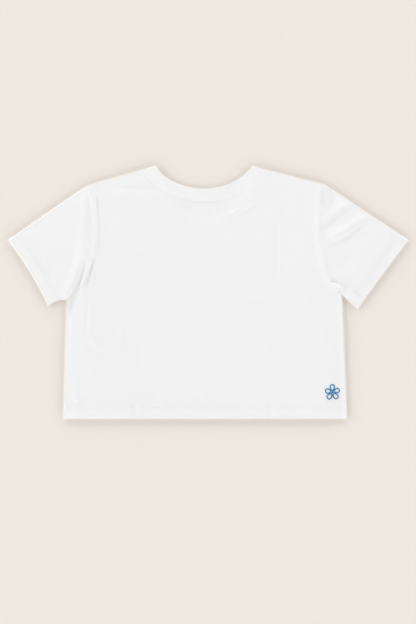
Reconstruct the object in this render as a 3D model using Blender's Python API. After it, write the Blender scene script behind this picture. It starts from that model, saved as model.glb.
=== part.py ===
"""A cropped T-shirt laid flat on its front, with its back upwards.

The front panel and the lower halves of the sleeves and of the neckband lie flat on the table.
The back panel and the upper halves lie on them, with soft folds. Lengths are in metres. X runs
across the garment, Y from the hem to the neck, and Z up from the table.
"""

import math
from collections import namedtuple

import bmesh
import bpy
import numpy as np
from mathutils import Vector
from mathutils.geometry import delaunay_2d_cdt

COLLECTION = "crop_top"

# Cloth
WALL = 0.0012
GAP = 0.0003
TURN_UP = 0.0008
HEM_DEPTH = 0.022
CUFF_DEPTH = 0.022
BAND_STEP = 0.004
RIB_WIDTH = 0.024

# Neck
FRONT_NECK_DROP = 0.100
FRONT_SCOOP = 0.010

# How the upper layer lies on the lower one
BASE = 2 * WALL + GAP
AIR = 0.0009
ROLL_HEIGHT = 0.0013
ROLL_WIDTH = 0.009
SAG_FROM = 0.004
SAG_TO = 0.030
SEAM_RISE = 0.0009
SEAM_WIDTH = 0.007
UNEVENNESS = 0.0003

# Spacing of the meshes' points
EDGE_SPACING = 0.010
BACK_NECK_POINTS = 27
FRONT_NECK_POINTS = 33
RING_INSETS = (0.0035, 0.0095)
FIELD_SPACING = 0.019
FOLD_SPACING = 0.009
CLEAR_OF_EDGE = 0.003
TOO_CLOSE = 0.7
SHARP_ANGLE = math.radians(50)

# For Blender's triangulation: keep the faces inside the border, and when two points are one
FACES_INSIDE = 1
SAME_POINT = 1e-7

# A sleeve's rings, as distances from the armhole and from the cuff, with more between them. A
# line shorter than SHORT, as at the underarm, has them closer by its share.
NEAR_ARMHOLE = (0, 0.004, 0.010)
NEAR_CUFF = (0.026, 0.022, 0.011, 0)
SHORT = 0.065
ACROSS_NEAR_FOLD = (0.016, 0.050)
NOSE_INSET = WALL + 0.0002
RIB_NOSE = 0.0025

# One half of the outline: its corners, the armhole's two handles, and how far the middles of the
# sleeve's three edges stand out from straight lines. Seam_side is +1 where the armhole's allowance
# is pressed to the sleeve, and -1 where it is pressed to the body. The last three count the points
# across the sleeve's two layers and the rings along it.
Half = namedtuple(
    "Half",
    "neck shoulder armhole_upper armhole_lower underarm hem cuff_top cuff_bottom"
    " top_bow cuff_bow under_bow seam_side upper_points lower_points rings",
)
LEFT = Half(
    neck=(-0.0981, 0.2347),
    shoulder=(-0.2263, 0.1975),
    armhole_upper=(-0.1907, 0.1121),
    armhole_lower=(-0.2085, 0.0545),
    underarm=(-0.2632, -0.0147),
    hem=(-0.2692, -0.2344),
    cuff_top=(-0.3718, 0.0970),
    cuff_bottom=(-0.2974, -0.0246),
    top_bow=0.0003,
    cuff_bow=-0.0040,
    under_bow=-0.0050,
    seam_side=1,
    upper_points=14,
    lower_points=8,
    rings=10,
)
RIGHT = Half(
    neck=(0.0824, 0.2336),
    shoulder=(0.2149, 0.1999),
    armhole_upper=(0.1990, 0.0620),
    armhole_lower=(0.2190, 0.0390),
    underarm=(0.2479, -0.0050),
    hem=(0.2566, -0.2344),
    cuff_top=(0.3707, 0.0963),
    cuff_bottom=(0.2774, -0.0294),
    top_bow=0.0002,
    cuff_bow=-0.0012,
    under_bow=0.0,
    seam_side=-1,
    upper_points=20,
    lower_points=8,
    rings=13,
)

# The back neckline's curves: how far inside each of its ends a handle lies, and how far below it.
Neckline = namedtuple("Neckline", "left_in left_below right_in right_below")
BACK_FREE_EDGE = Neckline(0.0148, 0.0368, 0.0606, 0.0728)
BACK_SEAM = Neckline(0.0214, 0.0606, 0.0622, 0.0972)

# Each soft fold of the upper layer: its two ends, how far its middle bows to the left of the way
# from the first to the second, its half width, and its height, which is below 0 for a trough.
Fold = namedtuple("Fold", "x0 y0 x1 y1 bow width height")
FOLDS = (
    # left underarm: the sleeve's broad ridge, and the trough between it and the body
    Fold(-0.2300, 0.0760, -0.2790, -0.0340, 0.000, 0.0125, 0.0019),
    Fold(-0.2238, 0.0556, -0.2640, -0.0480, 0.000, 0.0088, -0.0028),
    Fold(-0.2200, 0.0420, -0.2500, -0.0450, 0.000, 0.0120, -0.0007),
    # left side, below the underarm
    Fold(-0.2560, -0.0220, -0.2560, -0.0900, 0.000, 0.0050, 0.0006),
    # left shoulder, along its edge
    Fold(-0.2100, 0.1835, -0.0780, 0.1835, 0.001, 0.0065, 0.0007),
    # left sleeve, beside the armhole
    Fold(-0.2300, 0.1900, -0.2290, 0.1350, 0.000, 0.0064, 0.0007),
    Fold(-0.2310, 0.1600, -0.2350, 0.0400, -0.001, 0.0120, 0.0011),
    # right sleeve, from the armhole up to the fold along its top
    Fold(0.2237, 0.1960, 0.2285, 0.1500, 0.007, 0.0042, -0.0019),
    Fold(0.2090, 0.1240, 0.2660, 0.1720, -0.001, 0.0085, 0.0017),
    Fold(0.2099, 0.1171, 0.2620, 0.1617, -0.001, 0.0060, -0.0010),
    Fold(0.2110, 0.0960, 0.3080, 0.1510, -0.0075, 0.0115, 0.0021),
    Fold(0.2200, 0.0840, 0.3060, 0.1290, -0.006, 0.0070, -0.0014),
    Fold(0.2150, 0.0500, 0.2700, 0.0560, 0.003, 0.0090, -0.0012),
    # right underarm
    Fold(0.2190, 0.0206, 0.2380, 0.0180, 0.000, 0.0034, -0.0020),
    Fold(0.2320, 0.0100, 0.2530, 0.0030, 0.000, 0.0050, 0.0010),
    Fold(0.2540, -0.0020, 0.2830, -0.0210, 0.000, 0.0080, 0.0013),
    # right side, just inside its edge
    Fold(0.2465, 0.0150, 0.2495, -0.1500, 0.000, 0.0070, 0.0010),
    Fold(0.2450, -0.1220, 0.2380, -0.1680, 0.001, 0.0040, -0.0007),
    # neck, where the front neckband lies beneath
    Fold(0.0290, 0.1390, 0.0760, 0.1650, -0.001, 0.0032, 0.0010),
    Fold(0.0420, 0.1360, 0.0920, 0.1650, 0.001, 0.0034, 0.0010),
    # hem
    Fold(-0.1383, -0.2450, -0.1383, -0.1980, 0.000, 0.0042, -0.0010),
    Fold(0.1150, -0.2450, 0.1150, -0.2020, 0.000, 0.0042, -0.0010),
)


# Curves in the plane of the table


def bezier(*knots, count=40):
    """Points along the Bezier curve that these knots control."""
    t = np.linspace(0, 1, count)[:, None]
    levels = [np.array(knot, float) for knot in knots]
    while len(levels) > 1:
        levels = [(1 - t) * a + t * b for a, b in zip(levels, levels[1:])]
    return levels[0]


def bowed(start, end, bow):
    """A curve between two points whose middle lies to the left of the way there by the bow."""
    start, end = np.array(start), np.array(end)
    along = (end - start) / np.hypot(*(end - start))
    left = np.array((-along[1], along[0]))
    return bezier(start, (start + end) / 2 + 2 * bow * left, end)


def neckline_below(start, end, shape, count=60):
    """The curve from start to end that hangs below them, with a neckline's two handles."""
    left = np.array(start) + (shape.left_in, -shape.left_below)
    right = np.array(end) + (-shape.right_in, -shape.right_below)
    return bezier(start, left, right, end, count=count)


def half_ellipse_below(start, end, drop, count=60):
    """The half ellipse from start to end whose lowest point is a drop below their middle."""
    start, end = np.array(start), np.array(end)
    turn = np.linspace(0, np.pi, count)[:, None]
    middle = (start + end) / 2
    return middle - np.cos(turn) * (end - start) / 2 - np.sin(turn) * np.array((0, drop))


def at_shares(line, shares):
    """Points at these shares of the way along a line."""
    run = np.r_[0, np.cumsum(np.hypot(*np.diff(line, axis=0).T))]
    place = np.asarray(shares) * run[-1]
    return np.stack([np.interp(place, run, line[:, axis]) for axis in (0, 1)], axis=-1)


def evenly(line, spacing=None, count=None):
    """The same line with points an even distance apart."""
    length = np.hypot(*np.diff(line, axis=0).T).sum()
    return at_shares(line, np.linspace(0, 1, count or max(2, round(length / spacing) + 1)))


def toward(start, goal, distance):
    """Each start moved by a distance towards its goal."""
    way = goal - start
    return start + distance * way / np.linalg.norm(way, axis=-1, keepdims=True)


def moved_left(line, distance):
    """The line moved sideways, to the left of the way that it runs."""
    way = np.gradient(line, axis=0)
    way /= np.hypot(*way.T)[:, None]
    return line + distance * np.stack([-way[:, 1], way[:, 0]], axis=1)


def distance_to(line, x, y):
    """Each point's distance to a line, and which side of it: +1 to the left of its way, or -1."""
    start, step = line[:-1], np.diff(line, axis=0)
    dx = x[:, None] - start[:, 0]
    dy = y[:, None] - start[:, 1]
    t = np.clip((dx * step[:, 0] + dy * step[:, 1]) / (step**2).sum(axis=1), 0, 1)
    away = np.hypot(dx - t * step[:, 0], dy - t * step[:, 1])
    nearest = away.argmin(axis=1)
    row = np.arange(len(x))
    side = np.sign(step[nearest, 0] * dy[row, nearest] - step[nearest, 1] * dx[row, nearest])
    return away[row, nearest], side


def smooth_step(low, high, value):
    t = np.clip((value - low) / (high - low), 0, 1)
    return t * t * (3 - 2 * t)


# The garment's lines


def inward(half):
    """+1 where the garment's middle lies towards +X of this half, and -1 on the other."""
    return 1 if half is LEFT else -1


def armhole(half, scoop=0.0):
    """The armhole from the shoulder to the underarm. The scoop takes it further into the body."""
    upper = half.armhole_upper + np.array((inward(half) * scoop, 0))
    return bezier(half.shoulder, upper, half.armhole_lower, half.underarm)


def across(count):
    """Shares of the way across a sleeve, closer near its two folded edges."""
    near = np.array(ACROSS_NEAR_FOLD)
    return np.r_[near, np.linspace(near[-1], 1 - near[-1], count + 2)[1:-1], 1 - near[::-1]]


def armhole_points(half, count, scoop=0.0):
    """The armhole at the places where the sleeve and the body panel both have points."""
    return at_shares(armhole(half, scoop), np.r_[0, across(count), 1])


def rib_fold(half):
    """Both ends of the neckband's fold on the shoulder: at the free edge and at its seam."""
    neck, shoulder = np.array(half.neck), np.array(half.shoulder)
    return neck, neck + RIB_WIDTH * (shoulder - neck) / np.hypot(*(shoulder - neck))


def back_neck():
    """The back neckband's free edge and its seam, from left to right."""
    (free_left, seam_left), (free_right, seam_right) = rib_fold(LEFT), rib_fold(RIGHT)
    free = neckline_below(free_left, free_right, BACK_FREE_EDGE)
    seam = neckline_below(seam_left, seam_right, BACK_SEAM)
    return evenly(free, count=BACK_NECK_POINTS), evenly(seam, count=BACK_NECK_POINTS)


def front_neck():
    """The front neckband's free edge and its seam, from left to right."""
    (free_left, seam_left), (free_right, seam_right) = rib_fold(LEFT), rib_fold(RIGHT)
    seam_drop = FRONT_NECK_DROP + RIB_WIDTH - (free_left[1] - seam_left[1])
    free = half_ellipse_below(free_left, free_right, FRONT_NECK_DROP)
    seam = half_ellipse_below(seam_left, seam_right, seam_drop)
    return evenly(free, count=FRONT_NECK_POINTS), evenly(seam, count=FRONT_NECK_POINTS)


def sleeve_edges(half):
    """A sleeve's top fold and underarm edge, each from the body out, and its cuff from the top."""
    out = -inward(half)
    return (
        bowed(half.shoulder, half.cuff_top, out * half.top_bow),
        bowed(half.underarm, half.cuff_bottom, -out * half.under_bow),
        bowed(half.cuff_top, half.cuff_bottom, out * half.cuff_bow),
    )


def folded_edges():
    """The lines on which the cloth turns under: both sides, shoulders and sleeves' long edges."""
    for half in (LEFT, RIGHT):
        top, under, _ = sleeve_edges(half)
        yield bezier(half.underarm, half.hem)
        yield bezier(half.neck, half.shoulder)
        yield top
        yield under


# Heights over the table


def band(x, y):
    """1 on the turned-up hem and cuffs, and 0 on the plain cloth."""
    hem = LEFT.hem[1]
    share = 1 - smooth_step(0, BAND_STEP, y - hem - HEM_DEPTH)
    for half in (LEFT, RIGHT):
        away, _ = distance_to(sleeve_edges(half)[2], x, y)
        share = np.maximum(share, 1 - smooth_step(0, BAND_STEP, away - CUFF_DEPTH))
    return share


def air(x, y):
    """How far the upper layer stands off the lower one, rolling down to it at the folded edges."""
    away = np.full(len(x), np.inf)
    for edge in folded_edges():
        away = np.minimum(away, distance_to(edge, x, y)[0])
    reach = away / ROLL_WIDTH
    return AIR * (1 - np.exp(-reach)) + ROLL_HEIGHT * reach * np.exp(1 - reach)


def folds(x, y):
    """The soft folds, each a rounded ridge or trough that fades at its ends."""
    total = np.zeros(len(x))
    for fold in FOLDS:
        line = bowed((fold.x0, fold.y0), (fold.x1, fold.y1), fold.bow)
        away, _ = distance_to(line, x, y)
        total += fold.height * np.exp(-((away / fold.width) ** 2))
    return total


def seam_ridge(x, y):
    """The armholes' seam allowances, which lift the cloth on the side that they are pressed to."""
    total = np.zeros(len(x))
    for half in (LEFT, RIGHT):
        away, side = distance_to(armhole(half), x, y)
        pressed = side * inward(half) * half.seam_side < 0
        total += np.where(pressed, SEAM_RISE, 0) * (1 - smooth_step(SEAM_WIDTH, 2 * SEAM_WIDTH, away))
    return total


def sag(x, y):
    """1 where only the table lies under the back, inside the front's lower neckline, else 0."""
    free_edge = front_neck()[0]
    away, side = distance_to(free_edge, x, y)
    return np.where(side > 0, smooth_step(SAG_FROM, SAG_TO, away), 0)


def undulation(x, y):
    """The slight unevenness of cloth smoothed by hand."""
    return UNEVENNESS * (1 + np.sin(31 * x + 17 * y) * np.cos(23 * y - 11 * x))


def upper_face(x, y):
    """Height of the garment's upper face."""
    loose = air(x, y)
    lift = loose / (AIR + ROLL_HEIGHT)
    shaped = loose + np.minimum(1, lift) * (folds(x, y) + seam_ridge(x, y) + undulation(x, y))
    dropped = sag(x, y)
    return BASE + 2 * TURN_UP * band(x, y) + (1 - dropped) * np.maximum(shaped, 0) - dropped * WALL


def wall(x, y):
    """Thickness of one layer, which is more where a hem or cuff is turned up."""
    return WALL + TURN_UP * band(x, y)


# Meshes


def inside(outline, points):
    """Which points lie inside a closed outline."""
    x, y = points.T
    within = np.zeros(len(points), bool)
    for (x0, y0), (x1, y1) in zip(outline, np.roll(outline, -1, axis=0)):
        crosses = (y0 > y) != (y1 > y)
        within ^= crosses & (x < (x1 - x0) * (y - y0) / (y1 - y0 + 1e-12) + x0)
    return within


def thinned(groups):
    """The groups' points in order, without those that lie too close to one taken before."""
    kept = np.empty((0, 2))
    for points, spacing in groups:
        for point in points:
            if not len(kept) or np.hypot(*(kept - point).T).min() > TOO_CLOSE * spacing:
                kept = np.vstack([kept, point])
    return kept


def field_points(outline):
    """A triangular grid over the outline's box."""
    low, high = outline.min(axis=0), outline.max(axis=0)
    rows = np.arange(low[1], high[1], FIELD_SPACING * math.sqrt(0.75))
    return np.array(
        [
            (x + (index % 2) * FIELD_SPACING / 2, y)
            for index, y in enumerate(rows)
            for x in np.arange(low[0], high[0], FIELD_SPACING)
        ]
    )


def fold_points():
    """Points along each fold's crest and both its flanks."""
    lines = []
    for fold in FOLDS:
        crest = bowed((fold.x0, fold.y0), (fold.x1, fold.y1), fold.bow)
        for aside in (0, fold.width, -fold.width):
            lines.append(evenly(moved_left(crest, aside), FOLD_SPACING))
    return np.vstack(lines)


def hem_points():
    """Points along both sides of the step where the turned-up hem ends."""
    left, right = LEFT.hem, RIGHT.hem
    lines = []
    for depth in (HEM_DEPTH, HEM_DEPTH + BAND_STEP):
        rise = (0, depth)
        lines.append(evenly(bezier(left + np.array(rise), right + np.array(rise)), FIELD_SPACING))
    return np.vstack(lines)


def panel(name, outline, groups, top, bottom):
    """A laid panel: its outline filled with triangles, doubled, and raised to its two faces."""
    closed = np.vstack([outline, outline[:1]])
    inner = thinned(groups)
    inner = inner[inside(outline, inner)]
    inner = inner[distance_to(closed, *inner.T)[0] > CLEAR_OF_EDGE]
    points = [Vector(point) for point in np.vstack([outline, inner])]
    border = [(i, (i + 1) % len(outline)) for i in range(len(outline))]
    plan, _, triangles, *_ = delaunay_2d_cdt(points, border, [], FACES_INSIDE, SAME_POINT)

    mesh = bmesh.new()
    lower = [mesh.verts.new((*point, 0)) for point in plan]
    for corners in triangles:
        mesh.faces.new([lower[corner] for corner in reversed(corners)])
    made = bmesh.ops.extrude_face_region(mesh, geom=mesh.faces[:], use_keep_orig=True)
    upper = [item for item in made["geom"] if isinstance(item, bmesh.types.BMVert)]
    for verts, height in ((lower, bottom), (upper, top)):
        x, y = np.array([vert.co[:2] for vert in verts]).T
        for vert, z in zip(verts, height(x, y)):
            vert.co.z = z
    return finished(name, mesh)


def finished(name, mesh):
    """The named object of a closed bmesh, facing out and shaded smooth, in the collection."""
    bmesh.ops.recalc_face_normals(mesh, faces=mesh.faces)
    data = bpy.data.meshes.new(name)
    mesh.to_mesh(data)
    mesh.free()
    data.shade_smooth()
    data.set_sharp_from_angle(angle=SHARP_ANGLE)
    piece = bpy.data.objects.new(name, data)
    bpy.data.collections[COLLECTION].objects.link(piece)
    return piece


def cloth(name, colour, roughness):
    """A matt cloth material."""
    material = bpy.data.materials.new(name)
    material.use_nodes = True
    shader = material.node_tree.nodes["Principled BSDF"]
    shader.inputs["Base Color"].default_value = (*colour, 1)
    shader.inputs["Roughness"].default_value = roughness
    shader.inputs["Metallic"].default_value = 0
    return material


# The pieces


def body_outline(neckline, left_armhole, right_armhole):
    """A body panel's outline, kept clear of the sleeves and the neckband, from the left hem up."""
    left = moved_left(left_armhole, GAP)[::-1]
    right = moved_left(right_armhole, -GAP)
    neck = moved_left(neckline, -GAP)
    lines = (
        evenly(bezier(LEFT.hem, left[0]), EDGE_SPACING),
        left,
        evenly(bezier(left[-1], neck[0]), EDGE_SPACING),
        neck,
        evenly(bezier(neck[-1], right[0]), EDGE_SPACING),
        right,
        evenly(bezier(right[-1], RIGHT.hem), EDGE_SPACING),
        evenly(bezier(RIGHT.hem, LEFT.hem), EDGE_SPACING),
    )
    return np.vstack([line[:-1] for line in lines])


def front_panel():
    """The front lies flat, turned up along the hem."""
    armholes = [armhole_points(half, half.lower_points, FRONT_SCOOP) for half in (LEFT, RIGHT)]
    outline = body_outline(front_neck()[1], *armholes)
    groups = [(hem_points(), EDGE_SPACING)]
    return panel("front_panel", outline, groups, wall, lambda x, y: np.zeros(len(x)))


def back_panel():
    """The back lies on the front, with the folds."""
    armholes = [armhole_points(half, half.upper_points) for half in (LEFT, RIGHT)]
    outline = body_outline(back_neck()[1], *armholes)
    closed = np.vstack([outline, outline[:1]])
    rings = np.vstack([moved_left(closed, -inset) for inset in RING_INSETS])
    rings = rings[distance_to(closed, *rings.T)[0] > CLEAR_OF_EDGE]
    groups = [
        (rings, RING_INSETS[0]),
        (hem_points(), EDGE_SPACING),
        (fold_points(), FOLD_SPACING),
        (field_points(outline), FIELD_SPACING),
    ]
    return panel(
        "back_panel", outline, groups, upper_face, lambda x, y: upper_face(x, y) - wall(x, y)
    )


def sleeve_net(half, count, scoop=0.0):
    """Plan positions over one layer of a sleeve, by ring and point: a blend of its four edges."""
    top, under, cuff = sleeve_edges(half)
    shares = np.r_[0, across(count), 1]
    start, end = armhole_points(half, count, scoop), at_shares(cuff, shares)
    length = np.hypot(*(end - start).T)
    scale = np.minimum(1, length / SHORT)
    near = np.outer(NEAR_ARMHOLE, scale)
    far = length - np.outer(NEAR_CUFF, scale)
    middle = np.linspace(near[-1], far[0], half.rings + 2)[1:-1]
    out = np.vstack([near, middle, far]) / length
    v, u = out[:, :, None], shares[None, :, None]
    seam_to_cuff = (1 - v) * start + v * end
    edge_to_edge = (1 - u) * at_shares(top, out) + u * at_shares(under, out)
    corners = (1 - u) * ((1 - v) * start[0] + v * end[0]) + u * ((1 - v) * start[-1] + v * end[-1])
    return seam_to_cuff + edge_to_edge - corners


def raised(line, heights):
    """The plan points of a line with their heights."""
    return np.column_stack([line, heights])


def sleeve(name, half):
    """A sleeve: a tube of cloth pressed flat, open at the armhole and the cuff."""
    outer, inner = [], []
    upper, lower = sleeve_net(half, half.upper_points), sleeve_net(half, half.lower_points, FRONT_SCOOP)
    for over, under in zip(upper, lower):
        folds_at = over[[0, -1]]
        tucked = toward(folds_at, over[[1, -2]], NOSE_INSET)
        middle = upper_face(*folds_at.T) / 2
        over, under = over[1:-1], under[-2:0:-1]
        top = upper_face(*over.T)
        for net, folded, above, below in (
            (outer, folds_at, top, 0 * under[:, 0]),
            (inner, tucked, top - wall(*over.T), wall(*under.T)),
        ):
            first, last = raised(folded, middle)
            net.append(np.vstack([first, raised(over, above), last, raised(under, below)]))
    return loft(name, np.array(outer), np.array(inner))


def loft(name, outer, inner):
    """A tube's wall between an outer and an inner net, each indexed by ring, point and axis."""
    mesh = bmesh.new()
    nets = [[[mesh.verts.new(point) for point in ring] for ring in net] for net in (outer, inner)]
    for net in nets:
        for ring, following in zip(net, net[1:]):
            join_loops(mesh, ring, following)
    for end in (0, -1):
        join_loops(mesh, nets[0][end], nets[1][end])
    return finished(name, mesh)


def join_loops(mesh, loop, following):
    """Faces between two closed loops of the same number of points."""
    for a in range(len(loop)):
        b = (a + 1) % len(loop)
        mesh.faces.new((loop[a], loop[b], following[b], following[a]))


def neckband():
    """The neckband: one closed strip, folded on both shoulders, its front half under its back."""
    shares = np.array((0.0, 0.5, 1.0))[:, None]
    over, under = [
        (1 - shares) * free[:, None] + shares * seam[:, None] for free, seam in (back_neck(), front_neck())
    ]

    def laid(lines, above):
        """Cross-sections where the strip lies flat, drawn in a little from both folds."""
        drawn_in = [toward(lines[0], lines[1], RIB_NOSE), toward(lines[-1], lines[-2], RIB_NOSE)]
        for line in (drawn_in[0], *lines[1:-1], drawn_in[1]):
            height = upper_face(*line.T)
            outside, within = (height, height - WALL) if above else (0 * height, 0 * height + WALL)
            yield np.vstack([raised(line, outside), raised(line, within)[::-1]])

    def folded(line, next_line):
        """The cross-section on a fold, half way between the two layers."""
        middle = upper_face(*line.T) / 2
        tucked = toward(line, next_line, NOSE_INSET)
        return np.vstack([raised(line, middle), raised(tucked, middle)[::-1]])

    sections = [folded(over[0], over[1]), *laid(over, above=True)]
    sections += [folded(over[-1], over[-2]), *laid(under[::-1], above=False)]
    mesh = bmesh.new()
    loops = [[mesh.verts.new(point) for point in section] for section in sections]
    for loop, following in zip(loops, loops[1:] + loops[:1]):
        join_loops(mesh, loop, following)
    return finished("neck_rib", mesh)


def main():
    for item in list(bpy.data.objects):
        bpy.data.objects.remove(item)
    collection = bpy.data.collections.new(COLLECTION)
    bpy.context.scene.collection.children.link(collection)

    jersey = cloth("white_jersey", (0.89, 0.89, 0.89), 0.9)
    rib = cloth("white_rib", (0.90, 0.90, 0.90), 0.88)
    front_panel().data.materials.append(jersey)
    back_panel().data.materials.append(jersey)
    sleeve("left_sleeve", LEFT).data.materials.append(jersey)
    sleeve("right_sleeve", RIGHT).data.materials.append(jersey)
    neckband().data.materials.append(rib)


main()
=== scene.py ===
import math
from collections import namedtuple

import bpy
import numpy as np
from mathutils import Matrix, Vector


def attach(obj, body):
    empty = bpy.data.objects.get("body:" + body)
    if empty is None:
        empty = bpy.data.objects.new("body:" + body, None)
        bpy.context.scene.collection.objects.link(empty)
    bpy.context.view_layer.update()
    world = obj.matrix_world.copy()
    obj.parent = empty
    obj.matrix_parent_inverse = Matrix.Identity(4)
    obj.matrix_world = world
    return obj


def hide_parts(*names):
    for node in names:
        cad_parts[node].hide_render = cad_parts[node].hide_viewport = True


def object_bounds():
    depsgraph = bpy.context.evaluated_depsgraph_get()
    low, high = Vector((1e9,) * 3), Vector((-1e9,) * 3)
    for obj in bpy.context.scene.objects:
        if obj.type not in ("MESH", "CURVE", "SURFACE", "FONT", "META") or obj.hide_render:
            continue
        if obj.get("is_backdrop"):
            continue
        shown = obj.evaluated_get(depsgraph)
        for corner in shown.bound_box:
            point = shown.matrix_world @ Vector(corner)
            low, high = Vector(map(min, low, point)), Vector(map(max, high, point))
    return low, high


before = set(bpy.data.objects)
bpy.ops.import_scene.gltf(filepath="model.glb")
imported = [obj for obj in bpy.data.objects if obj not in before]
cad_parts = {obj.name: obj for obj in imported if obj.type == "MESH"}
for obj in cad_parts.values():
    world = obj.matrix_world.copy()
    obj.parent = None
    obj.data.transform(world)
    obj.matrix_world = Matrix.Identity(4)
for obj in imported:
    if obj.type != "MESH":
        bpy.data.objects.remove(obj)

CAD_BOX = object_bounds()

# A cropped T-shirt laid flat on its front, with its back upwards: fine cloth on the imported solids'
# form, with seams, stitches and creases. Lengths are in metres. X runs across the garment, Y from
# the hem to the neck, and Z up from the table.

# Cloth
WHITE = (0.890, 0.890, 0.890)
RIB_WHITE = (0.905, 0.905, 0.905)
THREAD_WHITE = (0.860, 0.860, 0.860)
WALL = 0.0012
GAP = 0.0001
HEM_TURN_UP = 0.0002
CUFF_TURN_UP = 0.00006
BAND_DEPTH = 0.022
HEM_STEP = 0.006
CUFF_STEP = 0.014
RIB_WIDTH = 0.024
RIB_STEP = 0.00015

# Neck
FRONT_NECK_DROP = 0.100
FRONT_SCOOP = 0.010

# How the upper layer lies on the lower one. The three pairs are the stretches, measured outwards from
# the front neckband's free edge or from its seam, over which the cloth above comes to its new height.
BASE = 2 * WALL + GAP
AIR = 0.0010
AIR_REACH = 0.017
LIFT_REACH = 0.006
PRESSED_REACH = 0.045
PRESSED_SHARE = 0.75
UNDER_RIB = 0.00018
UNDER_RIB_FREE_EDGE = (-0.002, 0.004)
UNDER_RIB_SEAM = (-0.003, 0.004)
SINGLE_LAYER = 0.0005
SINK = 0.0010
SINGLE_OVER = (-0.028, 0.001)
NECK_SEAM_RISE = 0.0003
NECK_SEAM_ASIDE = 0.0038
NECK_SEAM_WIDTH = 0.0028
UNEVENNESS = 0.00018
FOLD_TAPER = 0.28
FOLD_REACH = 3
FOLD_POINTS = 14
SOFTENING = 0.0008

# How far from the folded edges, and from the hem and the cuffs, the creases underneath set in
CLEAR_OF_FOLDED_EDGES = (0.008, 0.020)
CLEAR_OF_BANDS = (0.030, 0.040)

# Seams and stitches
STITCH_ROWS = (0.0185, 0.0235)
STITCH_PITCH = 0.0030
STITCH_LENGTH = 0.0023
HEM_THREAD = 0.00023
CUFF_THREAD = 0.00015
HEM_GROOVE = 0.00012
CUFF_GROOVE = 0.00003
GROOVE_WIDTH = 0.0008
HEM_CLEAR_OF_SIDES = 0.0020
CUFF_CLEAR_OF_FOLDS = 0.0025
STITCH_ARCH = 0.4
ABOVE_CLOTH = 0.4
ABOVE_TABLE = 1.15

# Knitting: one loop's width and height in the jersey and in the neckband, then the band's ribs
JERSEY_LOOP = (0.00075, 0.0006)
RIB_LOOP = (0.0011, 0.0007)
RIB_PITCH = 0.0022
RIB_HEIGHT = 0.00016
SAMPLES_A_RIB = 8

# The slight unevenness of cloth smoothed by hand: each wave's share, and how fast its sine and its
# cosine turn along X and along Y, and from where.
Wave = namedtuple("Wave", "share sine_x sine_y sine_from cosine_x cosine_y cosine_from")
WAVES = (
    Wave(1.0, 31, 17, 0.0, -11, 23, 0.0),
    Wave(0.5, 96, -47, 1.3, 38, 71, 0.0),
    Wave(0.3, 173, 121, 0.4, -97, 149, 2.1),
)

# One half of the outline: its corners, the armhole's two handles, and how far the middles of the
# sleeve's three edges stand out from straight lines. The armhole's allowance lifts a ridge of this
# half width and rise, which lies aside from the seam, towards the body, and dies out over the
# heights from its foot to where it is full.
Half = namedtuple(
    "Half",
    "neck shoulder armhole_upper armhole_lower underarm hem cuff_top cuff_bottom"
    " top_bow cuff_bow under_bow seam_aside seam_width seam_rise ridge_foot ridge_full",
)
LEFT = Half(
    neck=(-0.0981, 0.2347),
    shoulder=(-0.2263, 0.1975),
    armhole_upper=(-0.1907, 0.1121),
    armhole_lower=(-0.2085, 0.0545),
    underarm=(-0.2632, -0.0147),
    hem=(-0.2692, -0.2344),
    cuff_top=(-0.3718, 0.0970),
    cuff_bottom=(-0.2974, -0.0246),
    top_bow=0.0003,
    cuff_bow=-0.0040,
    under_bow=-0.0050,
    seam_aside=0.0000,
    seam_width=0.0046,
    seam_rise=0.0010,
    ridge_foot=0.0300,
    ridge_full=0.0700,
)
RIGHT = Half(
    neck=(0.0824, 0.2336),
    shoulder=(0.2149, 0.1999),
    armhole_upper=(0.1990, 0.0620),
    armhole_lower=(0.2190, 0.0390),
    underarm=(0.2479, -0.0050),
    hem=(0.2566, -0.2344),
    cuff_top=(0.3707, 0.0963),
    cuff_bottom=(0.2774, -0.0294),
    top_bow=0.0002,
    cuff_bow=-0.0012,
    under_bow=0.0,
    seam_aside=0.0032,
    seam_width=0.0078,
    seam_rise=0.0012,
    ridge_foot=-0.0200,
    ridge_full=0.0000,
)

# The back neckline's curves: how far inside each of its ends a handle lies, and how far below it.
Neckline = namedtuple("Neckline", "left_in left_below right_in right_below")
BACK_FREE_EDGE = Neckline(0.0148, 0.0368, 0.0606, 0.0728)
BACK_SEAM = Neckline(0.0214, 0.0606, 0.0622, 0.0972)

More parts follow.
